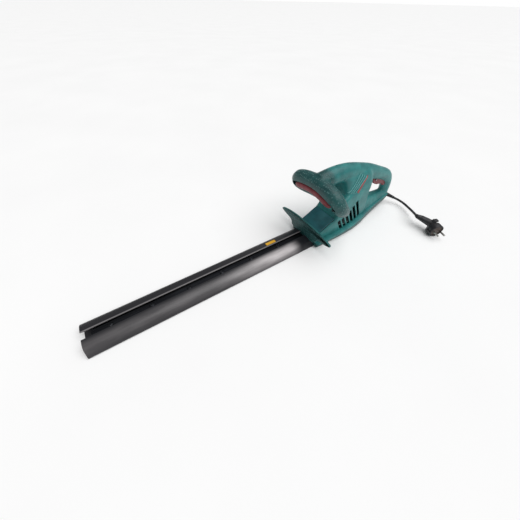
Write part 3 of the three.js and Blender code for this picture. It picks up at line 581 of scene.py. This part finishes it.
# ------------------------------------------------------------------ camera
def make_camera():
    data = bpy.data.cameras.new("camera")
    data.sensor_width = SENSOR_WIDTH
    data.lens = CAMERA_LENS
    camera = bpy.data.objects.new("camera", data)
    level = (CAMERA_LOOK - CAMERA_PLACE).to_track_quat("-Z", "Y").to_matrix().to_4x4()
    roll = Matrix.Rotation(CAMERA_ROLL, 4, "Z")
    camera.matrix_world = Matrix.Translation(CAMERA_PLACE) @ level @ roll
    bpy.context.scene.collection.objects.link(camera)
    bpy.context.scene.camera = camera


make_camera()


# ------------------------------------------------------------------ cord, sleeve and plug
def make_cord():
    data = bpy.data.curves.new("cord_flex", "CURVE")
    data.dimensions = "3D"
    data.bevel_depth = CORD_RADIUS * MM
    data.bevel_resolution = 5
    data.resolution_u = 8
    data.use_fill_caps = True
    line = data.splines.new("BEZIER")
    line.bezier_points.add(len(CORD_ROUTE) - 1)
    for knot, place in zip(line.bezier_points, CORD_ROUTE):
        knot.co = mm(*place)
        knot.handle_left_type = knot.handle_right_type = "AUTO"
    piece = bpy.data.objects.new("cord_flex", data)
    bpy.context.scene.collection.objects.link(piece)
    return piece


def make_sleeve():
    """Tapered bend protector with seven ribs."""
    root = Vector(CORD_ROUTE[0]) - SLEEVE_WAY * SLEEVE_LENGTH
    side = SLEEVE_WAY.cross(Vector((0, 0, 1)))
    stations = [(0, 5.5), (9, 5.5)]
    for rib in range(7):
        low = 9.5 + 2.8 * rib
        wide = 5.4 - 0.2 * rib
        narrow = wide - 0.9
        stations += [
            (low, narrow), (low + 0.7, narrow), (low + 0.9, wide), (low + 2.0, wide), (low + 2.2, narrow)]
    stations += [(SLEEVE_LENGTH - 0.3, 3.8)]
    rings = [(root + SLEEVE_WAY * d, SLEEVE_WAY, side, r, r) for d, r in stations]
    return smooth(tube("bend_protector", rings, 28), 50)


cord_piece = make_cord()
sleeve_piece = make_sleeve()


def plug_point(depth, across, up):
    forward = Vector((math.cos(PLUG_AZIMUTH), math.sin(PLUG_AZIMUTH), 0))
    sideways = Vector((-forward.y, forward.x, 0))
    return PLUG_FACE + forward * depth + sideways * across + Vector((0, 0, up))


def make_plug():
    """Round contact face on a flat-backed head, with a grip that leans up to the cord."""
    head = rod("plug_head", plug_point(-17, 0, 0), plug_point(0, 0, 0), PLUG_RADIUS, vertices=64)
    modify(head, "BEVEL", width=1.4 * MM, segments=3, limit_method="ANGLE")
    cut(head, rod("plug_well", plug_point(-2.5, 0, 0), plug_point(2, 0, 0), 15.2, vertices=64))
    for side in (-1, 1):
        rear, front = plug_point(-14, side * 18.6, 0), plug_point(1, side * 18.6, 0)
        cut(head, rod("plug_key", rear, front, 2.6, vertices=24))
    end = Vector(CORD_ROUTE[-1])
    way = (end - Vector(CORD_ROUTE[-2])).normalized()
    back = plug_point(-19, 0, 7)
    side = way.cross(Vector((0, 0, 1)))
    lean = (back - end).normalized()
    rings = [
        (end + way * 0.3, way, side, 4.2, 4.2), (end + way * 4, way, side, 4.9, 4.9),
        (end + way * 8, lean, side, 6.2, 5.6), (end.lerp(back, 0.28), lean, side, 9.2, 7.0),
        (end.lerp(back, 0.5), lean, side, 10.6, 7.8), (end.lerp(back, 0.8), lean, side, 10.8, 9.4),
        (back, lean, side, 11.4, 11.6)]
    grip = tube("plug_grip", rings, 32)
    thumb = box("plug_thumb", -5.5, 5.5, -6.5, 6.5, -2.5, 2.5, 1.2)
    neck = rod("plug_neck", plug_point(-26, 0, 1), plug_point(-16, 0, 0), 11.5, 17.4, 48)
    leg = box("plug_leg", -7.5, 7.5, -9, 9, -17, 8, 2.5)
    return head, grip, neck, leg, thumb


def build_plug():
    head, grip, neck, leg, thumb = make_plug()
    turn = Matrix.Rotation(PLUG_AZIMUTH, 4, "Z")
    leg.matrix_world = Matrix.Translation(plug_point(-21, 0, 0) * MM) @ turn
    settle(leg)
    thumb.matrix_world = Matrix.Translation(plug_point(-23, 0, 20) * MM) @ turn
    settle(thumb)
    body = join("plug_core", grip, neck, leg, thumb)
    modify(body, "REMESH", mode="VOXEL", voxel_size=0.9 * MM)
    modify(body, "SMOOTH", factor=0.5, iterations=4)
    whole = join("earthed_plug", head, body)
    return smooth(whole, 40)


def make_plug_face():
    """Moulded insert at the bottom of the plug's well, between the pins."""
    insert = rod("plug_insert", plug_point(-3.2, 0, 0), plug_point(-1.9, 0, 0), 15.0, vertices=64)
    return smooth(modify(insert, "BEVEL", width=0.4 * MM, segments=2, limit_method="ANGLE"))


plug_piece = build_plug()
plug_insert = make_plug_face()


# ------------------------------------------------------------------ casing
def ledge_at(x):
    """Height of the ledge's top at x."""
    for (x0, _, _, _, z0), (x1, _, _, _, z1) in zip(FOOT, FOOT[1:]):
        if x1 <= x <= x0:
            return z0 + (z1 - z0) * (x - x0) / (x1 - x0)
    return FOOT[0][4]


def casing_cages():
    block = cage("casing_block", [
        (x, {(-1, 1): (-roof, z), (1, 1): (roof, z),
             (-1, -1): (-foot, ledge_at(x) - 9), (1, -1): (foot, ledge_at(x) - 9)})
        for x, roof, z, foot in ROOF], "x")
    soften(block, 7, 4, 50)
    column = cage("casing_column", [
        (z, {(-1, -1): (rear, -half), (-1, 1): (rear, half), (1, -1): (front, -half), (1, 1): (front, half)})
        for z, front, rear, half in reversed(COLUMN)], "z")
    soften(column, 13, 5, 50)
    return block, column


def spine_section(t):
    wide = 21 - 6 * t if t < 0.4 else 18.6 - 8 * (t - 0.4)
    tall = 21.5 if t < 0.5 else max(17.5, 21.5 - 25 * (t - 0.5))
    return wide, tall


def handle_section(t):
    """Half sizes fore-and-down and across, and how far the middle is raised to keep the back of the arms."""
    middle = math.sin(math.pi * t)
    full = 15.5 + 3 * middle
    slim = 10.5 + 8 * min(1.0, middle / 0.75)
    fore = min(full, slim)
    return fore, 16 + 2 * middle, full - fore


def make_spine():
    across = Vector((0, 1, 0))
    rings = [(place, way, across, *spine_section(t)) for t, place, way in through(SPINE, 26)]
    return tube("casing_spine", rings)


def make_front_handle():
    rings = []
    for t, place, way in through(HANDLE, 36):
        fore, across, lift = handle_section(t)
        rings.append((place - FORE_DOWN * lift, way, FORE_DOWN, fore, across))
    return tube("casing_handle", rings)


def make_casing_solid():
    whole = join("casing_solid", *casing_cages(), make_spine(), make_front_handle())
    fix_normals(whole)
    modify(whole, "REMESH", mode="VOXEL", voxel_size=VOXEL * MM)
    modify(whole, "SMOOTH", factor=0.5, iterations=22)
    return whole


def bar_path(depth, end, count=22):
    """Places along the front handle, moved down into its underside, and the way it runs at each."""
    full = through(HANDLE, 201)
    first = round(200 * end)
    last = 200 - first
    steps = [first + round((last - first) * k / (count - 1)) for k in range(count)]
    return [(full[i][1] + FORE_DOWN * depth, full[i][2]) for i in steps]


def bar_tube(name, depth, end, high, wide, rounded=False):
    places = bar_path(depth, end)
    rings = []
    for k, (place, way) in enumerate(places):
        near = min(k, len(places) - 1 - k)
        share = (0.45, 0.8, 0.94)[near] if rounded and near < 3 else 1.0
        rings.append((place, way, FORE_DOWN, high * share, wide * share))
    return tube(name, rings, 28)

# Trigger seen from the side: x, z.
TRIGGER_EDGE = [
    (-319, 113), (-322, 106), (-344, 91), (-358, 88), (-375, 83.5), (-386, 76), (-391, 84), (-381, 100),
    (-355, 110), (-332, 120),
]


def grown(points, amount):
    """The outline moved outwards from its middle by about amount."""
    centre = sum((Vector(p) for p in points), Vector((0, 0))) / len(points)
    return [tuple(Vector(p) + (Vector(p) - centre).normalized() * amount) for p in points]


def trigger_pocket():
    """Room for the trigger at rest, halfway and squeezed."""
    pivot = Matrix.Translation((TRIGGER_PIVOT[0] * MM, 0, TRIGGER_PIVOT[1] * MM))
    parts = []
    for angle in (0, 4, 8.5):
        part = outline("pocket", grown(TRIGGER_EDGE, 1.0), 18.4, (0, 0, 0), FACING_Y, smooth_points=False)
        part.data.transform(pivot @ Matrix.Rotation(math.radians(angle), 4, "Y") @ pivot.inverted())
        parts.append(part)
    return parts


def vent_tools(side):
    """Six slots in one side wall, taller towards the rear, leaning forward at the top."""
    tools = []
    for (x0, z0), (x1, z1) in VENTS:
        start()
        bpy.ops.mesh.primitive_cube_add(
            size=1, location=mm((x0 + x1) / 2, side * 55, (z0 + z1) / 2),
            rotation=(0, math.atan2(x1 - x0, z1 - z0), 0), scale=mm(9.8, 56, math.hypot(x1 - x0, z1 - z0)))
        tool = settle(name_it("vent_tool"))
        modify(tool, "BEVEL", width=2.6 * MM, segments=3)
        tools.append(tool)
    return tools


def deck_tool():
    return outline("deck_tool", [(-92, 28), (-92, 60), (-162, 90), (-162, 56), (-114, 32)], 69.4, (0, 0, 0),
                   FACING_Y, smooth_points=False)


def foot_tool():
    """Everything under the ledge."""
    stations = [(-60, FOOT[0][4])] + [(x, z) for x, _, _, _, z in FOOT[:-1]] + [(-470, FOOT[-1][4])]
    return cage("foot_tool", [
        (x, {(-1, 1): (-80, z - 1.3), (1, 1): (80, z - 1.3), (-1, -1): (-80, -30), (1, -1): (80, -30)})
        for x, z in stations], "x")


def casing_half(solid, name, side):
    half = copy_of(solid, name)
    core = copy_of(solid, "casing_core")
    modify(core, "DISPLACE", strength=-WALL * MM, mid_level=0.0, direction="NORMAL")
    modify(core, "REMESH", mode="VOXEL", voxel_size=VOXEL * MM)
    seam, beyond = side * SEAM, -side * 90
    tools = [
        box("other_side", -500, 0, min(seam, beyond), max(seam, beyond), -10, 250), core,
        *vent_tools(side), deck_tool(), *trigger_pocket(),
        bar_tube("groove", BAR_DEPTH - 1, GROOVE_END, 14, 11.2),
        box("blade_gate", -112, -85, -17, 17, 0, 17), foot_tool()]
    for tool in tools:
        cut(half, tool)
    return half


def make_flange(name, side):
    """The ledge round the casing's foot."""
    strip = cage(name, [
        (x, {(-1, 1): (-half, z), (1, 1): (half, z), (-1, -1): (-half, z - 2.6), (1, -1): (half, z - 2.6)})
        for x, half, _, _, z in FOOT[:-1]], "x")
    hole = cage("flange_hole", [
        (x, {(-1, 1): (-max(half - 17, 2), 60), (1, 1): (max(half - 17, 2), 60),
             (-1, -1): (-max(half - 17, 2), 0), (1, -1): (max(half - 17, 2), 0)})
        for x, half, _, _, z in FOOT[:-1]], "x")
    cut(strip, hole)
    other = box("flange_trim", -500, 0, min(0, -side * 90), max(0, -side * 90), -10, 90)
    other.location.y = side * SEAM * MM
    settle(other)
    cut(strip, other)
    return soften(strip, 0.7, 2, 45)


casing_solid = make_casing_solid()


# ------------------------------------------------------------------ ribs and stripe on the column
def proud_of_casing(name, tool, height):
    """The part of a slightly swollen casing that lies inside tool, so that it follows the surface."""
    skin = copy_of(casing_solid, name)
    modify(skin, "DISPLACE", strength=height * MM, mid_level=0.0, direction="NORMAL")
    cut(skin, tool, "INTERSECT")
    return skin


def slanted_bar(x0, z0, x1, z1, width, side):
    """A bar through the casing's side, seen from the side as a line from (x0, z0) to (x1, z1)."""
    length = math.hypot(x1 - x0, z1 - z0)
    start()
    bpy.ops.mesh.primitive_cube_add(
        size=1, location=mm((x0 + x1) / 2, side * 27, (z0 + z1) / 2),
        rotation=(0, -math.atan2(z1 - z0, x1 - x0), 0), scale=mm(length, 30, width))
    tool = settle(name_it("slanted_bar"))
    return modify(tool, "BEVEL", width=0.45 * width * MM, segments=3, limit_method="ANGLE")


def make_side_trim():
    for label, side in (("left", 1), ("right", -1)):
        ribs = []
        for rib in range(4):
            shift = -7.5 * rib
            bar = slanted_bar(-230 + shift, 162 - 4 * rib, -196 + shift, 122 - 2 * rib, 2.3, side)
            ribs.append(proud_of_casing("rib", bar, 1.4))
        trim = join(f"casing_ribs_{label}", *ribs)
        # The ribs' paler teal is a painted highlight.
        place_piece(smooth(trim), "housing", "green_plastic", RIB_ABS)
        stripe = proud_of_casing(f"red_stripe_{label}", slanted_bar(-257, 150, -229, 114, 6.5, side), 0.35)
        place_piece(smooth(stripe), "housing", "red_plastic", TRIM_RED)


make_side_trim()

for half_name, node, half_side in (("casing_left", "housing_left", 1), ("casing_right", "housing_right", -1)):
    shell = casing_half(casing_solid, half_name, half_side)
    ledge = make_flange(half_name + "_ledge", half_side)
    shell = join(half_name, shell, ledge)
    place_piece(smooth(shell, 32), "housing", "green_plastic", GREEN_ABS, node)
drop(casing_solid)


# ------------------------------------------------------------------ base tray
def make_tray():
    tray = cage("base_shell", [
        (x, {(-1, 1): (-top, z - 2.9), (1, 1): (top, z - 2.9),
             (-1, -1): (-bottom, low), (1, -1): (bottom, low)})
        for x, top, bottom, low, z in FOOT], "x")
    soften(tray, 2.2, 3, 40)
    hollow = cage("tray_hollow", [
        (x, {(-1, 1): (-top + WALL, 60), (1, 1): (top - WALL, 60), (-1, -1): (-bottom + WALL, low + WALL),
             (1, -1): (bottom - WALL, low + WALL)})
        for x, top, bottom, low, _ in [(FOOT[0][0] - WALL, *FOOT[0][1:])] + FOOT[1:-1]], "x")
    cut(tray, hollow)
    cut(tray, box("tray_gate", -125, -85, -16.5, 16.5, 6, 60))
    root = Vector(CORD_ROUTE[0])
    cut(tray, rod("sleeve_hole", root - SLEEVE_WAY * 31, root + SLEEVE_WAY * 12, 6.0, vertices=32))
    return tray


# The tray's darker teal is painted shade.
place_piece(smooth(make_tray(), 40), "housing", "green_plastic", SHADED_TRAY_ABS, "base_tray")


# ------------------------------------------------------------------ deck
def make_deck():
    side = [(-100, 29.6), (-100, 33.2), (-114, 38.2), (-160.8, 62.0), (-160.8, 59), (-114, 35), (-104, 31.5)]
    deck = outline("front_deck", side, 68, (0, 0, 0), FACING_Y, smooth_points=False)
    return soften(deck, 0.8, 3, 50)


place_piece(smooth(make_deck()), "housing", "deck_plastic", DECK_ABS, "deck_cover")


# ------------------------------------------------------------------ hand guard
# Near half of the guard's outline, seen from the tip: y, z.
GUARD_HALF = [
    (46, 21.6), (50, 31), (56, 35), (64, 37), (78, 39.6), (89, 43), (93.6, 45.6), (91.6, 48.2), (82, 51.4),
    (64, 55.2), (40, 58), (14, 58.9),
]


def make_guard():
    points = GUARD_HALF + [(-y, z) for y, z in reversed(GUARD_HALF)]
    low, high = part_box("hand_guard")
    front = high.x / MM
    plate = outline("guard_plate", points, 4.0, (front - 2.1, 0, 0), FACING_X, 0.9)
    back_lip = outline("guard_lip", points, 5.6, (front - 2.9, 0, 0), FACING_X, 0.7)
    inner = [(y, z - 3.2) for y, z in points]
    hollow = outline("guard_hollow", inner, 12.0, (front - 9.4, 0, 0), FACING_X)
    cut(back_lip, hollow)
    cut(back_lip, box("guard_below", -130, -60, -110, 110, -10, 44))
    foot = box("guard_foot", low.x / MM - 1.4, front - 1, -30, 30, 23, 31, 1)
    return join("front_guard", plate, back_lip, foot)


place_piece(smooth(make_guard(), 40), "housing", "green_plastic", GUARD_ABS, "hand_guard")


# ------------------------------------------------------------------ scabbard
# Near half of the scabbard's outer section: y, z.
SHEATH_HALF = [
    (8, 20.8), (14, 20.6), (21, 20.0), (26, 18.9), (29.4, 16.8), (33, 12.6), (37, 7.4), (39.6, 3.8),
    (39.9, 2.2), (39.2, 0.8), (37.6, 0.1),
]
SHEATH_WALL = 2.0


def make_sheath():
    """A channel open along its top: the outer outline, and the inner one run back inside it."""
    low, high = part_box("sheath")
    outer = SHEATH_HALF + [(-y, z) for y, z in reversed(SHEATH_HALF)]
    inner = []
    for y, z in SHEATH_HALF:
        share = max(0.0, (y - 8) / 32)
        inner.append((y - SHEATH_WALL * share, z - SHEATH_WALL if z > 10 else z + SHEATH_WALL * (1 - z / 10)))
    walls = outer + [(-y, z) for y, z in inner] + list(reversed(inner))
    middle = (low.x + high.x) / 2 / MM
    length = (high.x - low.x) / MM
    channel = outline("blade_sheath", walls, length, (middle, 0, 0), FACING_X, smooth_points=False)
    return soften(channel, 0.5, 2, 35)


place_piece(smooth(make_sheath(), 30), "scabbard", "sheath_plastic", SHEATH_PVC, "sheath")


# ------------------------------------------------------------------ finger bar and trigger
def make_bar():
    bar = bar_tube("finger_bar", BAR_DEPTH, BAR_END, 8.6, 9.4, rounded=True)
    return modify(bar, "SUBSURF", levels=1, render_levels=1)


def make_trigger():
    return outline("rear_trigger", TRIGGER_EDGE, 16.4, (0, 0, 0), FACING_Y, 2.4)


place_piece(smooth(make_bar(), 60), "switch_bar", "red_plastic", RED_ABS, "switch_bar")
place_piece(smooth(make_trigger(), 40), "trigger", "red_plastic", RED_ABS, "trigger")

# ------------------------------------------------------------------ the cord, sleeve and plug dressed and attached
place_piece(cord_piece, "housing", "cord_rubber", CORD_PVC, "cord")
place_piece(sleeve_piece, "housing", "cord_rubber", BLACK_PVC, "cord_sleeve")
place_piece(plug_piece, "housing", "cord_rubber", BLACK_PVC, "plug_body")
place_piece(plug_insert, "housing", "black_plastic", INSERT_PLASTIC)


# ------------------------------------------------------------------ floor and light
def make_stage():
    start()
    bpy.ops.mesh.primitive_plane_add(size=FLOOR_SIZE)
    floor = name_it("studio_floor")
    made, tree, place = new_material("matt_white_paper")
    tone = between(tree, blotches(tree, place, 400), 0.3, 0.7, colour("#f9f9f9"), colour("#fcfcfc"))
    close_material(tree, add(tree, "BsdfPrincipled", {"Base Color": tone, "Roughness": 0.9}))
    dress(floor, made)


def make_light():
    world = bpy.data.worlds.new("soft_white_room")
    world.use_nodes = True
    tree = world.node_tree
    seen = add(tree, "LightPath").outputs["Is Camera Ray"]
    strength = eased(tree, seen, 0.0, 1.0, ROOM_LIGHT)
    tree.nodes["Background"].inputs["Color"].default_value = (1, 1, 1, 1)
    tree.links.new(strength, tree.nodes["Background"].inputs["Strength"])
    bpy.context.scene.world = world
    data = bpy.data.lights.new("overhead_softbox", "SUN")
    data.energy = SOFTBOX_LIGHT
    data.angle = SOFTBOX_WIDTH
    lamp = bpy.data.objects.new("overhead_softbox", data)
    lamp.rotation_euler = SOFTBOX_WAY.to_track_quat("-Z", "Y").to_euler()
    bpy.context.scene.collection.objects.link(lamp)
    bpy.context.scene.view_settings.view_transform = "Standard"


make_stage()
make_light()
